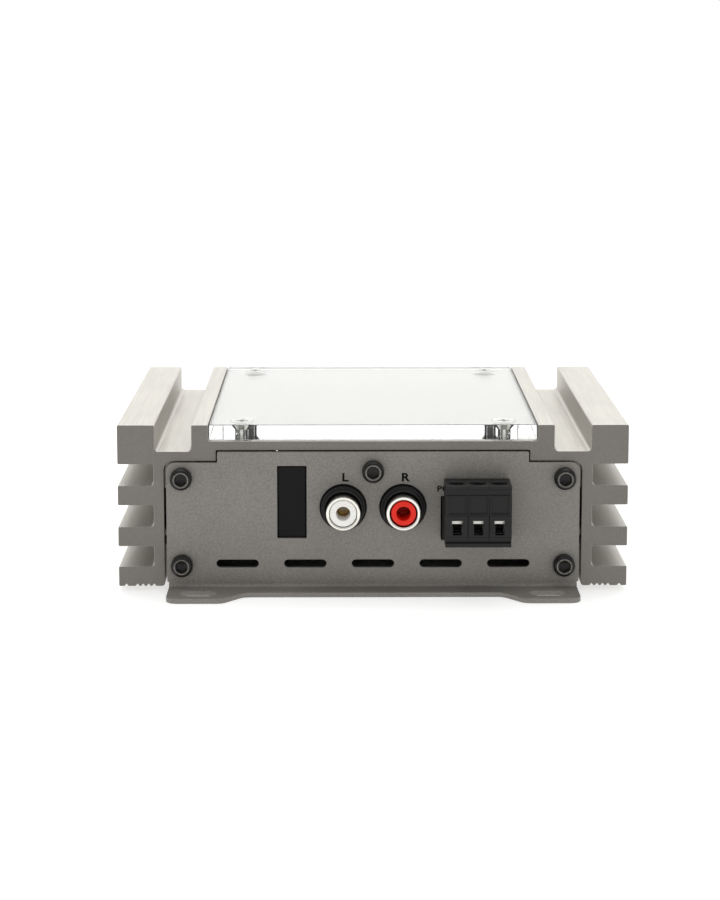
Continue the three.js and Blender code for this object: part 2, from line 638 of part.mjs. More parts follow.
function topPlate() {
  const half = RECESS_HALF - GAP;
  const halfLength = HALF_LENGTH - GAP;
  const under = TOP - RECESS_DEPTH + GAP;
  const tool = countersink(RECESS_DEPTH + PAST);
  const holes = fourPlaces(PLATE_SCREW).map(([x, y]) => tool.translate([x, y, TOP]));
  return cut(box(-half, half, -halfLength, halfLength, under, TOP), ...holes);
}
piece('top_plate', topPlate(), acrylic);

function bottomCover() {
  const { half, halfLength, low, thick } = COVER;
  const tool = countersink(thick + PAST).rotate([180, 0, 0]);
  const holes = fourPlaces(COVER_SCREW).map(([x, y]) => tool.translate([x, y, low]));
  return cut(box(-half, half, -halfLength, halfLength, low, low + thick), ...holes);
}
piece('bottom_cover', bottomCover(), panelPaint);

fourPlaces(PLATE_SCREW).forEach(([x, y], index) =>
  piece(`top_plate_screw_${index + 1}`, flatScrew(SCREW_LENGTH.plate), stainless, { x, y, z: TOP }));
fourPlaces(COVER_SCREW).forEach(([x, y], index) =>
  piece(`bottom_cover_screw_${index + 1}`, flatScrew(SCREW_LENGTH.cover), blackSteel,
    { x, y, z: COVER.low, turnX: Math.PI }));

// ---- Circuit board and its large components ----
const onBoard = BOARD_TOP + GAP;
piece('circuit_board', box(-BOARD.half, BOARD.half, -BOARD.halfLength, BOARD.halfLength,
  BOARD.under, BOARD_TOP), boardGreen);

function toroid() {
  const { inner, outer, tall, edge } = TOROID;
  return turned([
    [inner, edge], [inner + edge, 0], [outer - edge, 0], [outer, edge], [outer, tall - edge],
    [outer - edge, tall], [inner + edge, tall], [inner, tall - edge], [inner, edge],
  ], ROUND);
}
piece('toroid_coil', toroid(), copperWinding, { x: TOROID.x, y: TOROID.y, z: onBoard });

function capacitor() {
  const { radius, tall, edge } = CAPACITOR;
  return turned([
    [0, 0], [radius, 0], [radius, tall - edge], [radius - edge, tall], [0, tall],
  ], ROUND);
}
CAPACITOR.x.forEach((x, index) =>
  piece(`capacitor_${index + 1}`, capacitor(), foil, { x, y: CAPACITOR.y, z: onBoard }));

// A power transistor against a side wall: a metal tab, a moulded body and a block of leads
function transistor(side) {
  const { half, low, body, tab, thick, tabThick } = TRANSISTOR;
  const face = WALL_IN - GAP;
  const inset = (outer, inner) => ordered(side * (face - outer), side * (face - inner));
  return joined(
    box(...inset(0, tabThick), -half, half, onBoard + low, onBoard + tab),
    box(...inset(0, thick), -half, half, onBoard + low, onBoard + body),
    box(...inset(LEADS.outer, LEADS.inner), -LEADS.half, LEADS.half, onBoard, onBoard + low + PAST),
  );
}
[-1, 1].forEach((side, index) => piece(`power_transistor_${index + 1}`, transistor(side), epoxy));

piece('signal_chip', box(-CHIP.half, CHIP.half, CHIP.from, CHIP.to, onBoard, onBoard + CHIP.tall), epoxy);

export default unit;
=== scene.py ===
"""A compact in-vehicle audio unit: finned aluminium body, clear top plate, sheet end panels with
phono jacks, a pluggable power terminal and a modular socket. Lengths below are in millimetres, and
every mesh is scaled to metres as it is put together."""
from math import cos, pi, radians

import bmesh
import bpy
import numpy as np
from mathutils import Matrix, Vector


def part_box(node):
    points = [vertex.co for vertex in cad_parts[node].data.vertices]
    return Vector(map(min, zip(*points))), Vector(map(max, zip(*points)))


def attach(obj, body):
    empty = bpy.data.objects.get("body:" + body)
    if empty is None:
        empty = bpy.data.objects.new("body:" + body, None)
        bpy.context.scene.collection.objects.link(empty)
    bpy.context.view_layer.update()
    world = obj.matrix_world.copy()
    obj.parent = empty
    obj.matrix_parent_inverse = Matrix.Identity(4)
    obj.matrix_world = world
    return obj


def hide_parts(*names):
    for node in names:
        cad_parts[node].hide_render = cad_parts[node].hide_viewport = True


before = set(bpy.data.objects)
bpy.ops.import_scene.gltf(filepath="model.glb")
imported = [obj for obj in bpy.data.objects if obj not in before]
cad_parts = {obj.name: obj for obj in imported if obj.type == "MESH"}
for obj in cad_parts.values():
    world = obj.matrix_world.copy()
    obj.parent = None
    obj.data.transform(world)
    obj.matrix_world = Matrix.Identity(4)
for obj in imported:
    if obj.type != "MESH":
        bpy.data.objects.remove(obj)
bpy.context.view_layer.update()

MM = 0.001


def span(name):
    """Lowest and highest corner of a CAD node, in millimetres."""
    low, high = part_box(name)
    return np.array(low) / MM, np.array(high) / MM


# ---- Driving sizes, from the frame ----
SINK_LOW, SINK_HIGH = span("heatsink")
PANEL_LOW, PANEL_HIGH = span("front_panel")
PLATE_LOW, PLATE_HIGH = span("top_plate")
COVER_LOW, COVER_HIGH = span("bottom_cover")
BASE, TOP = SINK_LOW[2], SINK_HIGH[2]
HALF_LENGTH = SINK_HIGH[1]
HALF_WIDTH = SINK_HIGH[0]

GAP = 0.3  # clearance between pieces that touch
WELD = 1e-4  # points nearer than this are one point

# Section of the extrusion
RECESS_HALF = PLATE_HIGH[0] + GAP
RECESS_FLOOR = PLATE_LOW[2] - GAP
RAIL_OUT, GROOVE_OUT, GROOVE_FLOOR = 44, 53, TOP - 6.5
DECK_UNDER, SHOULDER_IN, SHOULDER_UNDER = TOP - 6.2, 38.1, TOP - 8.85
WALL_IN, WALL_OUT, BLOCK_UNDER = 50.8, 53.3, TOP - 9.65
FINS = ((14.95, 19.8), (25.2, 30.0), (35.1, TOP - BASE))
NOTCHES, NOTCH_HALF, NOTCH_DEPTH = (60.2, 57.5, 56.15, 54.8, 53.45), 0.5, 0.6

# Ribs along the inside of each wall, as low, high and depth: the deep ones take the panel screws,
# and the board slides in between the shallow ones. They stop short of both ends.
RIBS = ((24.9, 33.0, 7.4), (3.3, 9.95, 7.4), (9.4, 10.9, 1.7), (13.1, 14.6, 1.7))
RIB_SETBACK = 3.2

# End panels: sheet thickness, inner bend radius and the flange's reach
SHEET, BEND = 1.2, 0.8
PANEL_FACE = PANEL_HIGH[1] * -1 + SHEET
FLANGE = -PANEL_LOW[1] - PANEL_FACE
FOOT_HALF, TAB_IN, TAB_FOOT, FLANGE_SHALLOW = 49.8, 36.2, 31.3, 5.4
TAB_SLOT_X, TAB_SLOT_REACH, TAB_SLOT_LONG, TAB_SLOT_WIDE = 42.3, 6.0, 8.9, 4.0
VENTS, VENT_PITCH, VENT_Z, VENT_LONG, VENT_WIDE = 5, 16.5, BASE + 5.75, 10.3, 1.95
SCREW_HOLE, CORNER_X, CORNER_Z = 1.7, 46.5, (BASE + 27, BASE + 5.45)

ENDS = {"front": -1, "rear": 1}


# ---- Meshes from arrays ----
def unit(vectors):
    """The vectors divided by their lengths."""
    return vectors / np.linalg.norm(vectors, axis=-1, keepdims=True)


def finished(name, mesh, angle=30):
    """Welds a millimetre mesh, turns its faces outwards, marks edges sharper than the angle in
    degrees, and scales it to metres."""
    work = bmesh.new()
    work.from_mesh(mesh)
    bmesh.ops.remove_doubles(work, verts=work.verts, dist=WELD)
    bmesh.ops.dissolve_degenerate(work, edges=work.edges, dist=WELD)
    bmesh.ops.recalc_face_normals(work, faces=work.faces)
    bmesh.ops.scale(work, vec=(MM, MM, MM), verts=work.verts)
    work.to_mesh(mesh)
    work.free()
    mesh.shade_smooth()
    mesh.set_sharp_from_angle(angle=radians(angle))
    piece = bpy.data.objects.new(name, mesh)
    bpy.context.scene.collection.objects.link(piece)
    weighted = piece.modifiers.new("flat faces stay flat", "WEIGHTED_NORMAL")
    weighted.keep_sharp = True
    return piece


def sheet_mesh(name, grids):
    """Faces between neighbouring rows and columns of each grid of points, wrapping the columns."""
    points, faces, count = [], [], 0
    for grid in grids:
        rows, columns = grid.shape[:2]
        index = np.arange(rows * columns).reshape(rows, columns) + count
        after = np.roll(index, -1, axis=1)
        quads = np.stack([index[:-1], after[:-1], after[1:], index[1:]], axis=-1)
        points.append(grid.reshape(-1, 3))
        faces.append(quads.reshape(-1, 4))
        count += rows * columns
    mesh = bpy.data.meshes.new(name)
    mesh.from_pydata(np.concatenate(points).tolist(), [], np.concatenate(faces).tolist())
    return mesh


def facing(points, side, origin=(0, 0, 0)):
    """Points drawn with +Z outwards, turned to face -Y, +Y, -Z or +Z, and moved to their origin."""
    x, y, z = np.moveaxis(np.asarray(points, float), -1, 0)
    turned_to = {
        "front": (x, -z, y),
        "rear": (-x, z, y),
        "up": (x, y, z),
        "down": (x, -y, -z),
    }[side]
    return np.stack(turned_to, axis=-1) + np.asarray(origin, float)


def lathe(profile, sides=64, outline=None):
    """A profile of (radius, height) points carried round Z. outline(angle) may give a second radius
    for each angle, which a third profile column from 0 to 1 mixes in."""
    rows = np.array([tuple(row) + (0,) * (3 - len(row)) for row in profile], float)
    angle = np.linspace(0, 2 * pi, sides, endpoint=False)
    shaped = outline(angle) if outline else np.ones(sides)
    reach = rows[:, :1] * (1 + rows[:, 2:] * (shaped - 1))
    height = np.repeat(rows[:, 1:2], sides, axis=1)
    return np.stack([reach * np.cos(angle), reach * np.sin(angle), height], axis=-1)


def rounded(corners, radii, steps=5):
    """A closed outline whose corners are arcs: each corner is cut back along both of its sides by
    radius times tan(half the turn), and an arc about the centre that this gives joins the ends."""
    corner = np.asarray(corners, float)
    radius = np.broadcast_to(np.asarray(radii, float), len(corner))[:, None]
    inward = unit(corner - np.roll(corner, 1, axis=0))
    outward = unit(np.roll(corner, -1, axis=0) - corner)
    across = inward[:, 0] * outward[:, 1] - inward[:, 1] * outward[:, 0]
    turn = np.arctan2(across, (inward * outward).sum(axis=1))[:, None]
    start = corner - inward * radius * np.tan(np.abs(turn) / 2)
    left = np.stack([-inward[:, 1], inward[:, 0]], axis=1)
    centre = start + np.sign(turn) * left * radius
    first = np.arctan2(*(start - centre).T[::-1])[:, None]
    angle = first + turn * np.linspace(0, 1, steps + 1)
    arc = np.stack([np.cos(angle), np.sin(angle)], axis=-1) * radius[:, :, None]
    outline = (centre[:, None] + arc).reshape(-1, 2)
    apart = np.linalg.norm(outline - np.roll(outline, 1, axis=0), axis=1) > 1e-3
    return outline[apart]


def rectangle(x, y, width, height, radius=0.2):
    """A rectangle about its middle, with rounded corners."""
    a, b = width / 2, height / 2
    return rounded([(x - a, y - b), (x + a, y - b), (x + a, y + b), (x - a, y + b)], radius)


def circle(x, y, radius, sides=48):
    """A circle as one closed outline."""
    angle = np.linspace(0, 2 * pi, sides, endpoint=False)
    return np.stack([x + radius * np.cos(angle), y + radius * np.sin(angle)], axis=1)


def slot(x, y, length, width):
    """A straight slot with full round ends."""
    return rectangle(x, y, length, width, width / 2 - 1e-3)


def flat_plate(outlines, thickness, edge):
    """A plate in X and Y, centred on z = 0: the first outline is its rim, the others are holes.
    A filled flat curve carries the outlines, and its bevel rounds both rims by the edge radius."""
    curve = bpy.data.curves.new("outline", "CURVE")
    curve.dimensions = "2D"
    curve.fill_mode = "BOTH"
    curve.extrude = thickness / 2 - edge
    curve.bevel_depth = edge
    curve.bevel_resolution = 2
    curve.offset = -edge
    for outline in outlines:
        spline = curve.splines.new("POLY")
        spline.points.add(len(outline) - 1)
        flat = np.pad(outline, ((0, 0), (0, 2)))
        flat[:, 3] = 1
        spline.points.foreach_set("co", flat.astype(np.float32).ravel())
        spline.use_cyclic_u = True
    holder = bpy.data.objects.new("outline", curve)
    bpy.context.scene.collection.objects.link(holder)
    graph = bpy.context.evaluated_depsgraph_get()
    mesh = bpy.data.meshes.new_from_object(holder.evaluated_get(graph))
    bpy.data.objects.remove(holder)
    bpy.data.curves.remove(curve)
    return mesh


def moved(mesh, function):
    """Passes all of a mesh's points through a function as one array."""
    points = np.empty(len(mesh.vertices) * 3)
    mesh.vertices.foreach_get("co", points)
    mesh.vertices.foreach_set("co", function(points.reshape(-1, 3)).ravel())
    return mesh


def plate(outlines, low, high, edge, side="up"):
    """A flat plate that lies between two heights along the way that it faces."""
    middle = (low + high) / 2
    mesh = flat_plate(outlines, high - low, edge)
    return moved(mesh, lambda p: facing(p + (0, 0, middle), side))


def together(meshes, name="part"):
    """One mesh that holds all of the given ones."""
    work = bmesh.new()
    for mesh in meshes:
        work.from_mesh(mesh)
    joined = bpy.data.meshes.new(name)
    work.to_mesh(joined)
    work.free()
    return joined


def carved(body, cutters):
    """The body with the closed cutters taken out of it, both in millimetres."""
    held = [bpy.data.objects.new("cut", mesh) for mesh in (body, together(cutters))]
    for item in held:
        bpy.context.scene.collection.objects.link(item)
        work = bmesh.new()
        work.from_mesh(item.data)
        bmesh.ops.remove_doubles(work, verts=work.verts, dist=WELD)
        bmesh.ops.recalc_face_normals(work, faces=work.faces)
        work.to_mesh(item.data)
        work.free()
    tool = held[0].modifiers.new("cut", "BOOLEAN")
    tool.operation = "DIFFERENCE"
    tool.solver = "EXACT"
    tool.use_self = True
    tool.object = held[1]
    graph = bpy.context.evaluated_depsgraph_get()
    mesh = bpy.data.meshes.new_from_object(held[0].evaluated_get(graph))
    for item in held:
        bpy.data.objects.remove(item)
    return mesh


def tube(path, half_wide, half_thick, sides=16):
    """A flattened round section carried along a path in Y and Z, square to it all the way."""
    path = np.asarray(path, float)
    along = unit(np.gradient(path, axis=0))
    across = np.cross(along, (1, 0, 0))
    angle = np.linspace(0, 2 * pi, sides, endpoint=False)
    wide = np.cos(angle)[None, :, None] * half_wide * np.array((1, 0, 0))
    thick = np.sin(angle)[None, :, None] * half_thick * across[:, None]
    ring = path[:, None] + wide + thick
    ends = [np.repeat(path[i][None, None], sides, axis=1) for i in (0, -1)]
    return np.concatenate([ends[0], ring, ends[1]])


# ---- Materials ----
def linear(colour):
    """An sRGB hex colour as linear light, fully opaque."""
    parts = [int(colour[i:i + 2], 16) / 255 for i in (1, 3, 5)]
    light = [p / 12.92 if p <= 0.04045 else ((p + 0.055) / 1.055) ** 2.4 for p in parts]
    return (*light, 1.0)


def add(tree, kind, links=None, **settings):
    """Adds one node. Links name its inputs, each with a value or with another node's output."""
    node = tree.nodes.new(kind)
    for key, value in settings.items():
        setattr(node, key, value)
    for key, value in (links or {}).items():
        if isinstance(value, bpy.types.NodeSocket):
            tree.links.new(value, node.inputs[key])
        else:
            node.inputs[key].default_value = value
    return node


def base_material(name, **sockets):
    """A material with one Principled surface whose plain sockets are set, and its point input."""
    material = bpy.data.materials.new(name)
    material.use_nodes = True
    tree = material.node_tree
    surface = tree.nodes["Principled BSDF"]
    for key, value in sockets.items():
        surface.inputs[key.replace("_", " ")].default_value = value
    point = tree.nodes.new("ShaderNodeTexCoord").outputs["Object"]
    return material, tree, surface, point


def per_mm(size):
    """Texture scale at which one feature is about this many millimetres."""
    return 1 / (size * MM)


CLOUD, CLOUD_SHARE = 18, 0.3  # size in millimetres and share of the broad noise


def textured(name, dark, light, rough, grain, bump, stretch=(1, 1, 1), detail=4.0, **sockets):
    """A finish whose colour, roughness and height follow one grain pattern: a fractal noise of the
    given grain size in millimetres, drawn out along an axis by a small stretch factor, with some of
    a broad cloudy noise. Bump is the height of the grain in millimetres."""
    material, tree, surface, point = base_material(name, **sockets)
    drawn = add(tree, "ShaderNodeMapping", {"Vector": point, "Scale": stretch})
    noise = add(tree, "ShaderNodeTexNoise", {
        "Vector": drawn.outputs[0], "Scale": per_mm(grain), "Detail": detail, "Roughness": 0.6,
    })
    broad = add(tree, "ShaderNodeTexNoise",
                {"Vector": point, "Scale": per_mm(CLOUD), "Detail": 3.0})
    both = add(tree, "ShaderNodeMix",
               {"Factor": CLOUD_SHARE, "A": noise.outputs[0], "B": broad.outputs[0]})
    spread = add(tree, "ShaderNodeMapRange",
                 {"Value": both.outputs[0], "From Min": 0.32, "From Max": 0.68})
    colour = add(tree, "ShaderNodeMix", {"Factor": spread.outputs[0]}, data_type="RGBA")
    colour.inputs["A"].default_value = linear(dark)
    colour.inputs["B"].default_value = linear(light)
    gloss = add(tree, "ShaderNodeMapRange",
                {"Value": spread.outputs[0], "To Min": rough[0], "To Max": rough[1]})
    height = add(tree, "ShaderNodeBump",
                 {"Height": noise.outputs[0], "Strength": 1.0, "Distance": bump * MM})
    tree.links.new(colour.outputs["Result"], surface.inputs["Base Color"])
    tree.links.new(gloss.outputs[0], surface.inputs["Roughness"])
    tree.links.new(height.outputs[0], surface.inputs["Normal"])
    return material


# Mill-finish extruded aluminium: fine die lines run along the length, so grain is stretched on Y
extruded = textured("extruded_aluminium", "#b3b0a9", "#c6c3bc", (0.42, 0.56), 0.5, 0.010,
                    stretch=(1, 0.03, 1), Metallic=1.0)
# The same metal across a saw cut: duller, with a fine even tooth, and darker as painted shade
sawn_and_shaded_end = textured("sawn_aluminium_end_painted_shade", "#716d68", "#84807a", (0.55, 0.72), 0.22, 0.006,
                stretch=(1, 1, 0.35), Metallic=0.35)
# Metallic stoving enamel on sheet: flakes give a soft speckle about half a millimetre across
painted = textured("metallic_grey_enamel", "#706d68", "#8f8b86", (0.42, 0.62), 0.42, 0.012,
                   detail=2.0, Metallic=0.25)
# Black oxide on steel cap screws: nearly black, with a slightly oily sheen
black_oxide = textured("black_oxide_steel", "#100f0f", "#232120", (0.26, 0.42), 0.3, 0.004,
                       Metallic=0.5)
# The same black oxide, lighter and more metallic on the socket's rim: a painted highlight
rim_highlight_oxide = textured("black_oxide_painted_rim_highlight", "#2b2927", "#8d8984", (0.28, 0.45), 0.35, 0.004,
                      Metallic=0.8)
# Plain stainless, machine turned: bright, with a fine turned haze
stainless = textured("turned_stainless", "#b9b8b4", "#dddcd8", (0.22, 0.36), 0.15, 0.002,
                     Metallic=1.0)
# Bright nickel plate on brass sleeves: a warm white mirror, slightly softened
nickel = textured("bright_nickel_plate", "#e2dfd6", "#f6f4ee", (0.12, 0.24), 0.6, 0.002,
                  Metallic=1.0)
# Glass-filled nylon, moulded black: dull, with a faint spark-eroded grain
black_nylon = textured("moulded_black_nylon", "#0e0e0e", "#1a1919", (0.42, 0.6), 0.16, 0.006,
                       Specular_IOR_Level=0.3)
# Moulded ABS of the window insert: darker and flatter than the nylon
black_abs = textured("moulded_black_abs", "#0b0a0a", "#131212", (0.6, 0.75), 0.25, 0.004,
                     Specular_IOR_Level=0.2)
# Polypropylene insulators: a soft, even gloss
white_insulator = textured("white_polypropylene", "#efeee9", "#fbfaf7", (0.3, 0.4), 0.5, 0.003)
red_insulator = textured("red_polypropylene", "#d81c0d", "#ee2c17", (0.35, 0.45), 0.5, 0.003,
                         Specular_IOR_Level=0.3)
# Zinc plate on the clamp screws and cages, dull tin on the pins, and a gold flash on the contacts
zinc = textured("zinc_plated_steel", "#b5b4ae", "#d8d7d2", (0.25, 0.42), 0.3, 0.004, Metallic=1.0)
tin = textured("tinned_brass", "#c3c1ba", "#dcdad3", (0.25, 0.4), 0.3, 0.003, Metallic=1.0)
gold = textured("gold_flash", "#d8b45c", "#f0cf7c", (0.18, 0.3), 0.3, 0.002, Metallic=1.0)
# Solder resist over glass epoxy, enamelled wire, shrunk sleeve and moulded chip packages
resist = textured("green_solder_resist", "#173d26", "#28593a", (0.25, 0.4), 0.8, 0.004)
copper_wire = textured("enamelled_copper_wire", "#9a4f26", "#c06c36", (0.2, 0.32), 0.4, 0.003,
                       Metallic=0.8)
shrink_sleeve = textured("shrunk_vinyl_sleeve", "#1c2230", "#2a3244", (0.25, 0.4), 0.6, 0.003)
moulded_epoxy = textured("moulded_epoxy", "#1d1d1f", "#2b2b2d", (0.5, 0.66), 0.2, 0.005)
# Screen-printing ink: flat black, a little uneven
ink = textured("black_screen_ink", "#040404", "#0c0c0c", (0.7, 0.85), 0.2, 0.002,
               Specular_IOR_Level=0.1)


def clear_acrylic():
    """Cast acrylic: clear all through, with a polish that a few faint hairlines break."""
    material, tree, surface, point = base_material(
        "cast_clear_acrylic", Transmission_Weight=1.0, IOR=1.49, Base_Color=linear("#fbfdfb"))
    lines = add(tree, "ShaderNodeMapping",
                {"Vector": point, "Scale": (1, 0.04, 1), "Rotation": (0, 0, 0.5)})
    hair = add(tree, "ShaderNodeTexNoise",
               {"Vector": lines.outputs[0], "Scale": per_mm(0.6), "Detail": 3.0})
    gloss = add(tree, "ShaderNodeMapRange", {
        "Value": hair.outputs[0], "From Min": 0.4, "From Max": 0.75, "To Min": 0.01, "To Max": 0.05,
    })
    tree.links.new(gloss.outputs[0], surface.inputs["Roughness"])
    return material


acrylic = clear_acrylic()


# ---- Putting pieces on the frame ----
def put(piece, body, slot_name, materials, *nodes):
    """Gives a piece its materials and body, and hides the CAD nodes that it stands for. The finish
    slot name is not used.
    """
    for material in materials if isinstance(materials, (list, tuple)) else [materials]:
        piece.data.materials.append(material)
    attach(piece, body)
    if nodes:
        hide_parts(*nodes)
    return piece


def refinish(node, material):
    """Gives a carried-over CAD node its finished material."""
    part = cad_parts[node]
    part.data.materials.clear()
    part.data.materials.append(material)


# ---- Heatsink ----
def section():
    """The extrusion's outline in X and Z: the right half's corners with their radii, then the same
    corners mirrored in reverse order."""
    half = [
        (RECESS_HALF, RECESS_FLOOR, 0.15), (RECESS_HALF, TOP, 0.3), (RAIL_OUT, TOP, 0.35),
        (RAIL_OUT, GROOVE_FLOOR, 0.95), (GROOVE_OUT, GROOVE_FLOOR, 0.95), (GROOVE_OUT, TOP, 0.4),
        (HALF_WIDTH, TOP, 0.4), (HALF_WIDTH, BLOCK_UNDER, 0.35), (WALL_OUT, BLOCK_UNDER, 0.5),
    ]
    for upper, lower in FINS:
        half += [(WALL_OUT, TOP - upper, 0.75), (HALF_WIDTH, TOP - upper, 0.3),
                 (HALF_WIDTH, TOP - lower, 0.3)]
        if TOP - lower > BASE:
            half += [(WALL_OUT, TOP - lower, 0.5)]
    for x in NOTCHES:
        half += [(x + NOTCH_HALF, BASE, 0.12), (x, BASE + NOTCH_DEPTH, 0.1),
                 (x - NOTCH_HALF, BASE, 0.12)]
    half += [(WALL_IN, BASE, 0.7), (WALL_IN, SHOULDER_UNDER, 2.3),
             (SHOULDER_IN, SHOULDER_UNDER, 0.15), (SHOULDER_IN, DECK_UNDER, 0.25)]
    corners = np.array(half)
    mirrored = corners[::-1] * (-1, 1, 1)
    every = np.concatenate([corners, mirrored])
    return rounded(every[:, :2], every[:, 2], steps=4)


def heatsink():
    """The section carried along Y, with ribs inside. Faces that look along Y, where the saw went
    through, take the second finish, which is also darker as painted shade."""
    body = plate([section()], -HALF_LENGTH, HALF_LENGTH, 0.1, "front")
    normals = np.empty(len(body.polygons) * 3)
    body.polygons.foreach_get("normal", normals)
    caps = np.abs(normals.reshape(-1, 3)[:, 1]) > 0.9
    rib_end = HALF_LENGTH - RIB_SETBACK
    ribs = []
    for side in (-1, 1):
        for low, high, reach in RIBS:
            x = side * (WALL_IN + GAP - reach / 2)
            outline = rectangle(x, (low + high) / 2, reach + 2 * GAP, high - low)
            ribs.append(plate([outline], -rib_end, rib_end, 0.1, "front"))
    mesh = together([body] + ribs)
    # Faces that look along Y take the sawn finish, darkened with painted shade
    marks = np.zeros(len(mesh.polygons), np.int32)
    marks[:len(caps)] = caps
    mesh.polygons.foreach_set("material_index", marks)
    return finished("extruded_body", mesh)


put(heatsink(), "chassis", "extrusion", [extruded, sawn_and_shaded_end], "heatsink")


# ---- Screws ----
def hexagon(angle):
    """Distance to a hexagon's side at each angle, for a hexagon whose corners are 1 away."""
    return cos(pi / 6) / np.cos((angle + pi / 6) % (pi / 3) - pi / 6)


def cross(angle):
    """Distance to the edge of a cross of two bars, each 1 long and 0.3 wide from the middle."""
    c, s = np.abs(np.cos(angle)) + 1e-9, np.abs(np.sin(angle)) + 1e-9
    return np.maximum(np.minimum(1 / c, 0.3 / s), np.minimum(1 / s, 0.3 / c))


# The rows whose faces carry the painted highlight on the socket's rim
CAP_HIGHLIGHT_ROWS = (11, 12)  # rows of the profile below: the rim of the socket


def cap_screw(length):
    """Socket cap screw: the third column turns the round section into the hexagon of the socket."""
    return lathe([
        (0, -length), (1.0, -length), (1.2, 0.3 - length), (1.2, 0), (2.58, 0), (2.65, 0.08),
        (2.65, 1.6), (2.6, 1.85), (2.45, 2.08), (2.25, 2.25), (2.02, 2.36), (1.9, 2.4), (1.68, 2.4),
        (1.58, 2.34), (1.45, 2.15, 1), (1.45, 0.95, 1), (1.25, 0.85, 1), (0, 0.6),
    ], 72, hexagon)


def flat_screw(length):
    """Countersunk screw: the third column turns the round section into the cross of its recess."""
    return lathe([
        (0, -length), (0.95, -length), (1.2, 0.3 - length), (1.2, -1.6), (2.68, -0.2), (2.75, -0.1),
        (2.72, -0.02), (2.6, 0), (1.75, 0), (1.45, -0.03, 1), (1.4, -0.12, 1), (0.8, -1.05, 1),
        (0, -1.2),
    ], 72, cross)


def screw(node, points, side, slot_name, materials, origin, highlight_rows=()):
    """A turned screw; faces along the given rows of its profile take the painted-highlight finish.
    """
    mesh = sheet_mesh(node, [facing(points, side, origin)])
    rows, columns = points.shape[:2]
    marks = np.zeros((rows - 1, columns), np.int32)
    marks[list(highlight_rows)] = 1
    mesh.polygons.foreach_set("material_index", marks.ravel())
    put(finished(node + "_turned", mesh, angle=35), "chassis", slot_name, materials, node)


def middle(node):
    """The middle of a CAD node's box, in millimetres."""
    low, high = span(node)
    return (low + high) / 2


for end, sign in ENDS.items():
    seat = sign * (PANEL_FACE + 0.02)
    names = [f"{end}_panel_screw_{n}" for n in range(1, 5)]
    names += [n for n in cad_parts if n.startswith(f"{end}_jack_screw")]
    for name in names:
        x, _, z = middle(name)
        # Each cap screw's socket rim takes the painted highlight
        screw(name, cap_screw(8), end, "black_screw", [black_oxide, rim_highlight_oxide], (x, seat, z),
              highlight_rows=CAP_HIGHLIGHT_ROWS)
for number in range(1, 5):
    x, y, _ = middle(f"top_plate_screw_{number}")
    screw(f"top_plate_screw_{number}", flat_screw(6.1), "up", "stainless", stainless, (x, y, TOP))
    x, y, _ = middle(f"bottom_cover_screw_{number}")
    screw(f"bottom_cover_screw_{number}", flat_screw(6), "down", "black_screw", black_oxide,
          (x, y, COVER_LOW[2]))


# ---- End panels ----
BEND_MID = BEND + SHEET / 2
BEND_ARC = BEND_MID * pi / 2
BEND_TOP = BEND + SHEET


def unfolded(reach):
    """Where a point of the flange lies on the flat blank, below the bend's upper line."""
    return -BEND_ARC - (reach - BEND)


def blank_outline():
    """The panel's flat blank in X and developed height: upright sheet above, flange below."""
    half, foot = PANEL_HIGH[0], FOOT_HALF
    step, top = SHOULDER_IN - GAP, PANEL_HIGH[2] - BEND_TOP
    side_top = SHOULDER_UNDER - GAP - BEND_TOP
    right = [
        (TAB_FOOT, unfolded(FLANGE_SHALLOW), 3), (TAB_IN, unfolded(FLANGE), 3),
        (foot, unfolded(FLANGE), 2.6), (foot, 0.4, 0.1), (half, 0.4, 0.18), (half, side_top, 2.1),
        (step, side_top, 0.2), (step, top, 0.35),
    ]
    corners = np.array(right)
    every = np.concatenate([corners, corners[::-1] * (-1, 1, 1)])
    return rounded(every[:, :2], every[:, 2])


def folded(points, sign):
    """The blank bent outwards: above the bend it stands upright, in the bend it follows a quarter
    circle about the bend's centre, and past it the flange lies flat."""
    x, s, c = points.T
    angle = np.clip(-s / BEND_MID, 0, pi / 2)
    past = np.maximum(-s - BEND_ARC, 0)
    centre = PANEL_FACE + BEND
    out = centre - (BEND_MID - c) * np.cos(angle) + past
    height = BEND_TOP + np.maximum(s, 0) - (BEND_MID - c) * np.sin(angle)
    return np.stack([x * -sign, sign * out, height], axis=1)


def end_panel(end, cutouts):
    """Cutouts are drawn in X, as seen from that end, and in height above the mounting surface."""
    sign = ENDS[end]
    holes = [circle(x, z, SCREW_HOLE) for x in (-CORNER_X, CORNER_X) for z in CORNER_Z]
    holes += [slot((n - (VENTS - 1) / 2) * VENT_PITCH, VENT_Z, VENT_LONG, VENT_WIDE)
              for n in range(VENTS)]
    lifted = [outline - (0, BEND_TOP) for outline in holes + cutouts]
    tabs = [slot(x, unfolded(TAB_SLOT_REACH), TAB_SLOT_LONG, TAB_SLOT_WIDE)
            for x in (-TAB_SLOT_X, TAB_SLOT_X)]
    mesh = flat_plate([blank_outline()] + lifted + tabs, SHEET, 0.14)
    work = bmesh.new()
    work.from_mesh(mesh)
    bmesh.ops.remove_doubles(work, verts=work.verts, dist=WELD)
    for s in np.linspace(-BEND_ARC, 0, 11):
        geometry = work.verts[:] + work.edges[:] + work.faces[:]
        bmesh.ops.bisect_plane(work, geom=geometry, plane_co=(0, s, 0), plane_no=(0, 1, 0),
                               dist=1e-5)
    work.to_mesh(mesh)
    work.free()
    moved(mesh, lambda p: folded(p, sign))
    return finished(f"{end}_sheet_panel", mesh)


# Phono jacks: the pair's half pitch, the boss with its stepped rim, and the moulded block behind
JACK_Z, JACK_HALF_PITCH, JACK_SCREW_Z = BASE + 19.8, 7.25, BASE + 28.8
BOSS, BOSS_PROUD, COLLAR, COLLAR_PROUD, BORE = 5.4, 1.5, 4.9, 3.4, 4.45
BLOCK_BACK, BLOCK_WIDE, BLOCK_TOP = 29.0, 26.8, 27.2
EAR_Z, EAR_WIDE, EAR_TALL = 30.0, 8.4, 6.4


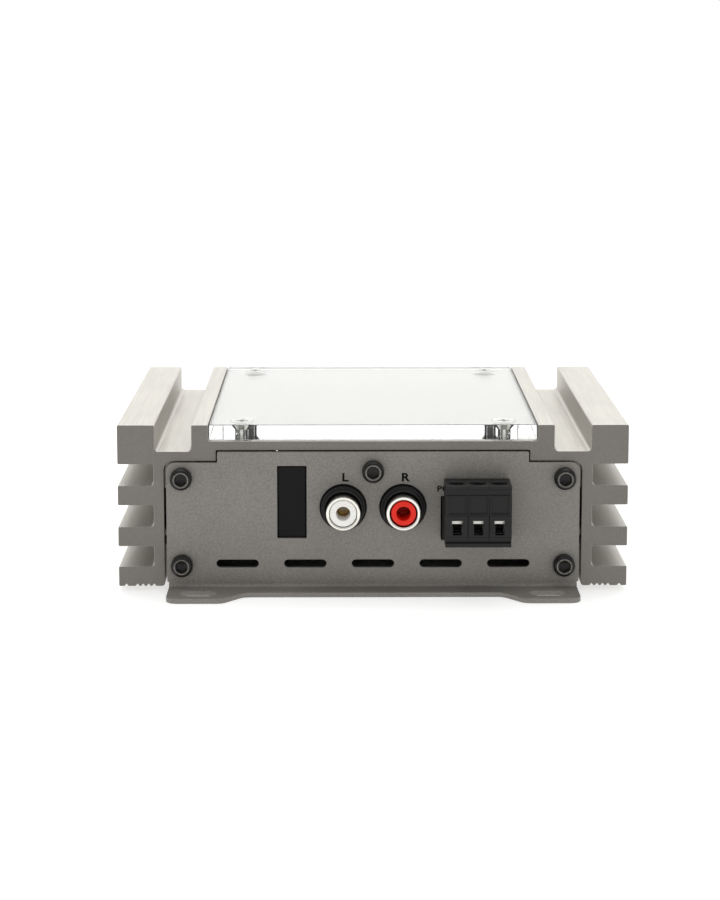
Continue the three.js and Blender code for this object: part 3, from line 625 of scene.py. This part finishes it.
def jack_holes(end):
    """Two boss holes and a screw hole for every jack block of that end, as seen from outside."""
    holes = []
    for name in sorted(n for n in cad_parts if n.startswith(f"{end}_jack_body")):
        x = middle(name)[0] * -ENDS[end]
        holes += [circle(x + side * JACK_HALF_PITCH, JACK_Z, BOSS + GAP, 72) for side in (-1, 1)]
        holes += [circle(x, JACK_SCREW_Z, SCREW_HOLE)]
    return holes


WINDOW_X, WINDOW_Z, WINDOW_WIDE, WINDOW_TALL = -19.7, 22.25, 7.1, 17.9
TERMINAL_LOW, TERMINAL_HIGH = span("terminal_header")
SOCKET_LOW, SOCKET_HIGH = span("modular_socket")


def clear_of(low, high, radius, flip=1):
    """A rectangular cutout that clears a node's box all round, as seen from outside."""
    x, z = flip * (low[0] + high[0]) / 2, (low[2] + high[2]) / 2
    return rectangle(x, z, high[0] - low[0] + 2 * GAP, high[2] - low[2] + 2 * GAP, radius)


put(end_panel("front", jack_holes("front") + [
    rectangle(WINDOW_X, WINDOW_Z, WINDOW_WIDE, WINDOW_TALL, 0.15),
    clear_of(TERMINAL_LOW, TERMINAL_HIGH, 0.3),
]), "chassis", "panel_paint", painted, "front_panel")
put(end_panel("rear", jack_holes("rear") + [clear_of(SOCKET_LOW, SOCKET_HIGH, 1.0, -1)]),
    "chassis", "panel_paint", painted, "rear_panel")


# ---- Printed labels ----
INK_SEAT, INK_HALF = 0.02, 0.01


def label(name, words, end, x, z, height, align="CENTER"):
    """Screen-printed capitals that stand 0.03 mm proud of the panel, with x as seen from outside.
    The font's capitals are 0.7 of its size, and are drawn a little bolder and wider here."""
    text = bpy.data.curves.new(name, "FONT")
    text.body = words
    text.align_x = align
    text.size = height / 0.7
    text.offset = 0.04 * height
    text.space_character = 1.08
    text.extrude = INK_HALF
    holder = bpy.data.objects.new(name, text)
    bpy.context.scene.collection.objects.link(holder)
    graph = bpy.context.evaluated_depsgraph_get()
    mesh = bpy.data.meshes.new_from_object(holder.evaluated_get(graph))
    bpy.data.objects.remove(holder)
    sign = ENDS[end]
    origin = (x * -sign, sign * (PANEL_FACE + INK_SEAT), z - height / 2)
    moved(mesh, lambda p: facing(p * (1.15, 1, 1), end, origin))
    put(finished(name, mesh), "chassis", "black_plastic", ink)


label("label_front_left", "L", "front", -6.8, 28.45, 2.0)
label("label_front_right", "R", "front", 7.8, 28.45, 2.0)
label("label_front_power", "POWER", "front", 15.5, 25.6, 1.4, "LEFT")
for number, (words, x) in enumerate([("R", -35.8), ("L", -21.4), ("R", 2.2), ("L", 16.6)], 1):
    label(f"label_rear_{number}", words, "rear", x, 29.1, 2.0)
label("label_rear_volume", "VOL", "rear", 32.8, 30.2, 2.15)


# ---- Phono jacks ----
def jack_block(name, end):
    """The moulded block behind the panel, and two bosses that come through it with stepped rims."""
    low, high = span(name)
    x = (low[0] + high[0]) / 2
    sign = ENDS[end]
    front = PANEL_FACE - SHEET - GAP
    root = GAP - front + BLOCK_BACK
    rim, tip = PANEL_FACE + BOSS_PROUD - front, PANEL_FACE + COLLAR_PROUD - front
    block = rectangle(x * -sign, (low[2] + BLOCK_TOP) / 2, BLOCK_WIDE, BLOCK_TOP - low[2], 0.6)
    ear = rectangle(x * -sign, EAR_Z, EAR_WIDE, EAR_TALL, 1.5)
    parts = [plate([outline], BLOCK_BACK, front, 0.3, end) for outline in (block, ear)]
    for side in (-1, 1):
        boss = lathe([
            (BORE, root), (BOSS - 0.1, root), (BOSS, 0.6), (BOSS, rim - 0.25),
            (BOSS - 0.1, rim - 0.07), (BOSS - 0.28, rim), (COLLAR + 0.12, rim),
            (COLLAR + 0.04, rim + 0.08), (COLLAR, rim + 0.3), (COLLAR, tip - 0.35),
            (COLLAR - 0.06, tip - 0.12), (COLLAR - 0.2, tip), (BORE + 0.07, tip),
            (BORE, tip - 0.15), (BORE, root),
        ], 96)
        centre = (x + side * JACK_HALF_PITCH, sign * front, JACK_Z)
        parts.append(sheet_mesh("boss", [facing(boss, end, centre)]))
    piece = finished(name + "_moulding", together(parts))
    put(piece, "chassis", "black_plastic", black_nylon, name)


def sleeve_profile(reach):
    """A drawn tube of 8.25 mm whose rim rolls over, seated at height 0."""
    return [
        (3.35, 0), (4.125, 0), (4.125, reach - 0.35), (4.06, reach - 0.14), (3.9, reach - 0.02),
        (3.72, reach), (3.6, reach - 0.04), (3.4, reach - 0.2), (3.35, reach - 0.4), (3.35, 0),
    ]


def insulator_profile(reach, radius):
    """A solid plug with a rounded rim, and a low lip round the mouth of its blind hole."""
    return [
        (0, 0), (radius, 0), (radius, reach - 0.25), (radius - 0.08, reach - 0.07),
        (radius - 0.25, reach), (2.25, reach), (2.15, reach + 0.1), (1.95, reach + 0.12),
        (1.78, reach + 0.05), (1.7, reach - 0.15), (1.66, reach - 8), (0, reach - 8),
    ]


def spring_profile(reach):
    """The contact tube deep in the insulator's hole."""
    return [(1.25, reach - 7.6), (1.6, reach - 7.6), (1.6, reach - 4.6), (1.42, reach - 4.3),
            (1.25, reach - 4.6), (1.25, reach - 7.6)]


INSULATOR_RADIUS = {"red": 3.02, "white": 3.27}
RIM_TO_INSULATOR = 0.4

for name in [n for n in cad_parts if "jack_body" in n]:
    jack_block(name, name.split("_")[0])
for name in [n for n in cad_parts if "jack_sleeve" in n]:
    end, *_, number, colour = name.split("_")
    low, high = span(name)
    centre = middle(name)
    seat = low[1] if end == "rear" else high[1]
    reach = high[1] - low[1]
    origin = (centre[0], seat, centre[2])
    mesh = sheet_mesh(name, [facing(lathe(sleeve_profile(reach), 96), end, origin)])
    put(finished(name + "_drawn", mesh), "chassis", "nickel", nickel, name)
    plug = name.replace("sleeve", "insulator")
    radius = INSULATOR_RADIUS[colour]
    inset = reach - RIM_TO_INSULATOR
    mesh = sheet_mesh(plug, [facing(lathe(insulator_profile(inset, radius), 96), end, origin)])
    finish = red_insulator if colour == "red" else white_insulator
    put(finished(plug + "_moulded", mesh), "chassis", f"{colour}_plastic", finish, plug)
    mesh = sheet_mesh("contact", [facing(lathe(spring_profile(inset), 48), end, origin)])
    put(finished(f"{end}_jack_contact_{number}_{colour}", mesh), "chassis", "gold_contact", gold)


# ---- Window insert ----
def window_insert():
    """A plain face that fills the cutout from behind, on a larger plate."""
    low, high = span("window_insert")
    face = plate([rectangle(WINDOW_X, WINDOW_Z, WINDOW_WIDE - 0.5, WINDOW_TALL - 0.5, 0.25)],
                 40.4, PANEL_FACE - 0.35, 0.15, "front")
    backing = rectangle(WINDOW_X, (low[2] + high[2]) / 2, high[0] - low[0], high[2] - low[2], 0.4)
    body = plate([backing], -high[1], 40.6, 0.2, "front")
    return finished("window_insert_moulded", together([face, body]))


put(window_insert(), "chassis", "black_plastic", black_abs, "window_insert")


# ---- Power terminal ----
PLUG_LOW, PLUG_HIGH = span("terminal_plug")
POLES = [middle(f"terminal_screw_{n}")[0] for n in (1, 2, 3)]
PLUG_X = middle("terminal_plug")[0]
PLUG_BACK, CLAMP_Y, HALF_POLE = -42.6, -47.4, 2.54
WIRE_LOW, WIRE_HIGH, ROOM_LOW, ROOM_HIGH = 16.3, 19.8, 14.7, 23.9
ROOM_FRONT, ROOM_BACK, ROOM_HALF = -49.9, -44.9, 1.95
SCREW_TIP, HEAD_LOW, HEAD_HIGH = 18.9, 25, 26.7


def extruded_along_x(corners, radii, x0, x1, edge):
    """A side view in depth and height, rounded at its corners and carried along X."""
    mesh = flat_plate([rounded(corners, radii)], x1 - x0, edge)
    return moved(mesh, lambda p: np.stack([p[:, 2] + (x0 + x1) / 2, p[:, 0], p[:, 1]], axis=1))


def cuboid(x0, x1, y0, y1, z0, z1):
    """A sharp box for cutting with."""
    corner = np.array([(x0, y0), (x1, y0), (x1, y1), (x0, y1)])
    centre = np.array((((x0 + x1) / 2, (y0 + y1) / 2),) * 4)
    rows = [(centre, z0), (corner, z0), (corner, z1), (centre, z1)]
    grid = np.stack([np.concatenate([flat, np.full((4, 1), z)], axis=1) for flat, z in rows])
    return sheet_mesh("box", [grid])


def terminal_plug():
    """A moulded block with ledges across its face, a recessed panel and a stepped wire hole for
    each pole, wells for the clamp screws, and a tongue with pin bores that enters the header."""
    front, low, high = PLUG_LOW[1], PLUG_LOW[2], PLUG_HIGH[2]
    x0, x1 = PLUG_LOW[0], PLUG_HIGH[0]
    side_view = [
        (PLUG_BACK, low), (front + 0.45, low), (front + 0.45, low + 1.0), (front + 0.9, low + 1.15),
        (front + 0.9, low + 1.45), (front + 0.25, low + 1.6), (front + 0.25, low + 2.45),
        (front, low + 2.65), (front, low + 7.7), (front + 0.2, low + 7.9),
        (front + 0.2, high - 2.3), (front + 0.45, high - 2.1), (front + 0.45, high - 0.9),
        (front + 0.1, high - 0.75), (front + 0.1, high - 0.3), (front + 0.35, high),
        (PLUG_BACK, high),
    ]
    body = extruded_along_x(side_view, 0.11, x0, x1, 0.1)
    tongue = cuboid(PLUG_X - 7, PLUG_X + 7, PLUG_BACK - 0.01, PLUG_HIGH[1], 14.1, 21.9)
    cutters, bores = [], []
    for number, x in enumerate(POLES, 1):
        pin_top = span(f"terminal_pin_{number}")[1][2]
        bore = (x - 0.8, x + 0.8, -46, PLUG_HIGH[1] + 1, pin_top - 1.3, pin_top + 0.3)
        cutters.append(cuboid(*bore))
        bores.append(cuboid(*bore))
        cutters.append(cuboid(x - 2.1, x + 2.1, front - 1, front + 0.5, low + 8.2, high - 2.45))
        cutters.append(cuboid(x - 1.3, x + 1.3, front - 1, -49.5, WIRE_HIGH - 1.2, WIRE_HIGH))
        cutters.append(cuboid(x - 1.08, x + 1.08, front - 1, -49.5, WIRE_LOW, WIRE_HIGH - 1.1))
        cutters.append(cuboid(x - ROOM_HALF, x + ROOM_HALF, ROOM_FRONT, ROOM_BACK,
                              ROOM_LOW, ROOM_HIGH))
        well = lathe([(0, HEAD_LOW - 0.3), (1.9, HEAD_LOW - 0.3), (1.9, high - 0.25),
                      (2.15, high + 0.02), (2.2, high + 1), (0, high + 1)], 48)
        neck = lathe([(0, ROOM_HIGH - 1), (1.2, ROOM_HIGH - 1), (1.2, HEAD_LOW), (0, HEAD_LOW)], 32)
        cutters += [sheet_mesh("well", [facing(shape, "up", (x, CLAMP_Y, 0))])
                    for shape in (well, neck)]
    for x in (POLES[0] + HALF_POLE, POLES[1] + HALF_POLE):
        cutters.append(cuboid(x - 0.12, x + 0.12, front - 1, front + 0.45, low - 1, high + 1))
    parts = [carved(body, cutters), carved(tongue, bores)]
    return finished("terminal_plug_moulded", together(parts))


put(terminal_plug(), "plug", "black_plastic", black_nylon, "terminal_plug")


def slotted(angle):
    """Distance to the edge of a straight slot 1 long each way and 0.19 wide from the middle."""
    c, s = np.abs(np.cos(angle)) + 1e-9, np.abs(np.sin(angle)) + 1e-9
    return np.minimum(1 / c, 0.19 / s)


def clamp_screw(name):
    """Slotted screw: the third column turns the round head into the slot cut in it."""
    shape = lathe([
        (0, SCREW_TIP), (0.8, SCREW_TIP), (0.9, SCREW_TIP + 0.2), (0.9, HEAD_LOW), (1.5, HEAD_LOW),
        (1.6, HEAD_LOW + 0.1), (1.6, HEAD_HIGH - 0.15), (1.52, HEAD_HIGH - 0.03), (1.45, HEAD_HIGH),
        (1.4, HEAD_HIGH, 1), (1.4, HEAD_HIGH - 0.8, 1), (0, HEAD_HIGH - 0.8),
    ], 72, slotted)
    x = middle(name)[0]
    return finished(name + "_turned", sheet_mesh(name, [facing(shape, "up", (x, CLAMP_Y, 0))]))


for number in (1, 2, 3):
    name = f"terminal_screw_{number}"
    put(clamp_screw(name), f"clamp_screw_{number}", "plated_steel", zinc, name)
    refinish(f"terminal_cage_{number}", zinc)
    refinish(f"terminal_pin_{number}", tin)
refinish("terminal_header", black_nylon)


# ---- Modular socket ----
CONTACT_PITCH = 1.02


def modular_socket():
    """A shell with a stepped mouth for the plug and its latch, closed by a plain block behind."""
    (x0, y0, z0), (x1, y1, z1) = SOCKET_LOW, SOCKET_HIGH
    x = -(x0 + x1) / 2
    mouth = [(4.35, 14), (4.35, 23.3), (3, 23.3), (3, 25.1), (1.65, 25.1), (1.65, 26.8)]
    right = [(x + a, z) for a, z in mouth]
    left = [(x - a, z) for a, z in reversed(mouth)]
    outline = rectangle(x, (z0 + z1) / 2, x1 - x0, z1 - z0, 0.45)
    shell = plate([outline, rounded(right + left, 0.12)], 29, y1, 0.15, "rear")
    block = plate([outline], y0, 29.2, 0.1, "rear")
    ledges = [plate([rectangle(x + side * 3.85, 15.2, 1.2, 2.6, 0.15)], 29, y1 - 0.5, 0.1, "rear")
              for side in (-1, 1)]
    sill = plate([rectangle(x, 14.2, 6.4, 0.6, 0.15)], 29, y1 - 0.3, 0.1, "rear")
    return finished("modular_socket_moulded", together([shell, block, sill] + ledges))


def contact_wires():
    """Four sprung wires: up over the comb at the mouth, then back and down into the housing."""
    t = np.linspace(0, 1, 30)
    y = np.concatenate([[39.5, 39.9, 40.2, 40.35], 40.3 - 9.6 * t])
    z = np.concatenate([[16.1, 16.3, 16.55, 16.8], 17.0 + 2.6 * t])
    grids = []
    for step in (-1.5, -0.5, 0.5, 1.5):
        x = np.full_like(y, middle("modular_socket")[0] + step * CONTACT_PITCH)
        path = np.stack([x, y, z], axis=1)
        grids.append(tube(path, 0.2, 0.2))
    return finished("modular_contact_wires", sheet_mesh("wires", grids), angle=60)


def contact_comb():
    """The black carrier under the wires, with a tooth between each pair."""
    x, y0, y1 = -middle("modular_socket")[0], 29.6, 40.6
    teeth = [plate([rectangle(x + n * CONTACT_PITCH, 16.3, 0.4, 1.0, 0.1)], 36, y1, 0.05, "rear")
             for n in (-2, -1, 0, 1, 2)]
    bed = plate([rectangle(x, 15.5, 5.8, 1.3, 0.1)], y0, y1 - 0.1, 0.08, "rear")
    return finished("modular_contact_comb", together([bed] + teeth))


put(modular_socket(), "chassis", "black_plastic", black_nylon, "modular_socket")
put(contact_wires(), "chassis", "gold_contact", gold, "modular_contact_insert")
put(contact_comb(), "chassis", "black_plastic", black_nylon)


# ---- Top plate and bottom cover ----
def countersink(x, y, surface, side, depth):
    """The tool for a countersunk hole, opening at its surface."""
    shape = lathe([(0, -depth), (1.6, -depth), (1.6, -1.75), (2.95, -0.3), (2.95, 1), (0, 1)], 64)
    return sheet_mesh("tool", [facing(shape, side, (x, y, surface))])


def top_plate():
    """The clear plate with a countersunk hole for each of its screws."""
    low, high = PLATE_LOW, PLATE_HIGH
    body = plate([rectangle(0, 0, 2 * high[0], 2 * high[1], 0.3)], low[2], high[2], 0.15)
    tools = [countersink(*middle(f"top_plate_screw_{n}")[:2], high[2], "up", 6)
             for n in range(1, 5)]
    return finished("clear_top_plate", carved(body, tools))


def bottom_cover():
    """The cover sheet with a countersunk hole for each of its screws."""
    low, high = COVER_LOW, COVER_HIGH
    body = plate([rectangle(0, 0, 2 * high[0], 2 * high[1], 1.2)], low[2], high[2], 0.15)
    tools = [countersink(*middle(f"bottom_cover_screw_{n}")[:2], low[2], "down", 3)
             for n in range(1, 5)]
    return finished("bottom_cover_sheet", carved(body, tools))


put(top_plate(), "chassis", "acrylic", acrylic, "top_plate")
put(bottom_cover(), "chassis", "panel_paint", painted, "bottom_cover")


# ---- Inside ----
def toroid():
    """A ring of wound wire: the section is a rounded square, and its reach swells once per turn."""
    turns, mean_radius, half_wide, half_tall = 44, 7.75, 3.2, 4.45
    around = np.linspace(0, 2 * pi, turns * 8, endpoint=False)[:, None]
    about = np.linspace(0, 2 * pi, 32, endpoint=False)[None, :]
    swell = 1 - 0.1 * np.abs(np.cos(around * turns / 2))
    square = (np.abs(np.cos(about)) ** 6 + np.abs(np.sin(about)) ** 6) ** (-1 / 6)
    ring = mean_radius + half_wide * swell * square * np.cos(about)
    x, y = ring * np.cos(around), ring * np.sin(around)
    z = half_tall * swell * square * np.sin(about)
    grid = np.stack([x, y, z], axis=-1) + middle("toroid_coil")
    grid = np.concatenate([grid, grid[:1]])
    piece = finished("toroid_winding", sheet_mesh("coil", [grid]))
    put(piece, "chassis", "winding", copper_wire, "toroid_coil")


def capacitor(name):
    """A can in a shrunk sleeve: a rolled neck near its foot, and a sunk top inside the lip."""
    low, high = span(name)
    x, y = (low[0] + high[0]) / 2, (low[1] + high[1]) / 2
    tall = high[2] - low[2]
    shape = lathe([
        (0, 0.2), (4.4, 0.2), (4.7, 0), (4.95, 0.4), (4.95, 1.6), (4.6, 2.1), (4.95, 2.6),
        (5, tall - 0.6), (4.85, tall - 0.1), (4.5, tall), (4.2, tall - 0.05), (4.1, tall - 0.3),
        (0, tall - 0.3),
    ], 64)
    piece = finished(name + "_can", sheet_mesh(name, [facing(shape, "up", (x, y, low[2]))]))
    put(piece, "chassis", "capacitor_sleeve", shrink_sleeve, name)


toroid()
capacitor("capacitor_1")
capacitor("capacitor_2")
refinish("circuit_board", resist)
refinish("power_transistor_1", moulded_epoxy)
refinish("power_transistor_2", moulded_epoxy)
refinish("signal_chip", moulded_epoxy)


# ---- Floor, light and camera ----
FLOOR_REACH = 3.0  # metres
FRONT_LIGHT, BACK_LIGHT = 0.7, 1.3  # strength of the surroundings
SOFTBOX_BEHIND, SOFTBOX_ABOVE = 0.35, 1.0  # metres


def studio():
    """A pale floor, a white backdrop, light that grows from the front to the back, and a softbox
    overhead and a little behind the unit."""
    floor = bpy.data.meshes.new("floor")
    turns = ((-1, -1), (1, -1), (1, 1), (-1, 1))
    corners = [(x * FLOOR_REACH, y * FLOOR_REACH, 0) for x, y in turns]
    floor.from_pydata(corners, [], [(0, 1, 2, 3)])
    ground = bpy.data.objects.new("floor", floor)
    bpy.context.scene.collection.objects.link(ground)
    material, _, surface, _ = base_material("matt_white_floor", Roughness=0.9,
                                            Emission_Strength=0.6)
    surface.inputs["Base Color"].default_value = linear("#b9b9b7")
    surface.inputs["Emission Color"].default_value = linear("#ffffff")
    floor.materials.append(material)

    world = bpy.data.worlds.new("white_studio")
    world.use_nodes = True
    tree = world.node_tree
    tree.nodes.clear()
    way = add(tree, "ShaderNodeTexCoord").outputs["Generated"]
    parts = add(tree, "ShaderNodeSeparateXYZ", {"Vector": way})
    glow = add(tree, "ShaderNodeMapRange", {
        "Value": parts.outputs["Y"], "From Min": -0.4, "From Max": 0.5,
        "To Min": FRONT_LIGHT, "To Max": BACK_LIGHT,
    }, interpolation_type="SMOOTHSTEP")
    lit = add(tree, "ShaderNodeBackground", {"Strength": glow.outputs[0]})
    seen = add(tree, "ShaderNodeBackground", {"Strength": 1.0})
    lit.inputs["Color"].default_value = seen.inputs["Color"].default_value = linear("#ffffff")
    ray = add(tree, "ShaderNodeLightPath").outputs["Is Camera Ray"]
    mixed = add(tree, "ShaderNodeMixShader", {0: ray, 1: lit.outputs[0], 2: seen.outputs[0]})
    add(tree, "ShaderNodeOutputWorld", {"Surface": mixed.outputs[0]})
    bpy.context.scene.world = world

    lamp = bpy.data.lights.new("overhead_softbox", "AREA")
    lamp.size = 1.0
    lamp.energy = 6.0
    light = bpy.data.objects.new("overhead_softbox", lamp)
    light.location = (0.05, SOFTBOX_BEHIND, SOFTBOX_ABOVE)
    light.rotation_euler = (-np.arctan2(SOFTBOX_BEHIND, SOFTBOX_ABOVE), 0, 0)
    bpy.context.scene.collection.objects.link(light)


LENS = 80.84
CAMERA_DISTANCE = 480.0  # from the extrusion's front face
CAMERA_ABOVE = 97.0  # above the extrusion's top
CAMERA_LEFT = 6.1
CAMERA_PITCH = radians(7.8)
CAMERA_YAW = radians(0.35)
CAMERA_SHIFT = -0.17


def camera():
    """Set back from the front face and above the top, looking slightly down."""
    data = bpy.data.cameras.new("camera")
    data.lens = LENS
    data.sensor_width = 36
    data.shift_y = CAMERA_SHIFT
    data.clip_start = 0.01
    eye = bpy.data.objects.new("camera", data)
    eye.location = (-CAMERA_LEFT * MM, -(HALF_LENGTH + CAMERA_DISTANCE) * MM,
                    (TOP + CAMERA_ABOVE) * MM)
    eye.rotation_euler = (pi / 2 - CAMERA_PITCH, 0, -CAMERA_YAW)
    bpy.context.scene.collection.objects.link(eye)
    bpy.context.scene.camera = eye


studio()
camera()
bpy.context.scene.view_settings.view_transform = "Standard"
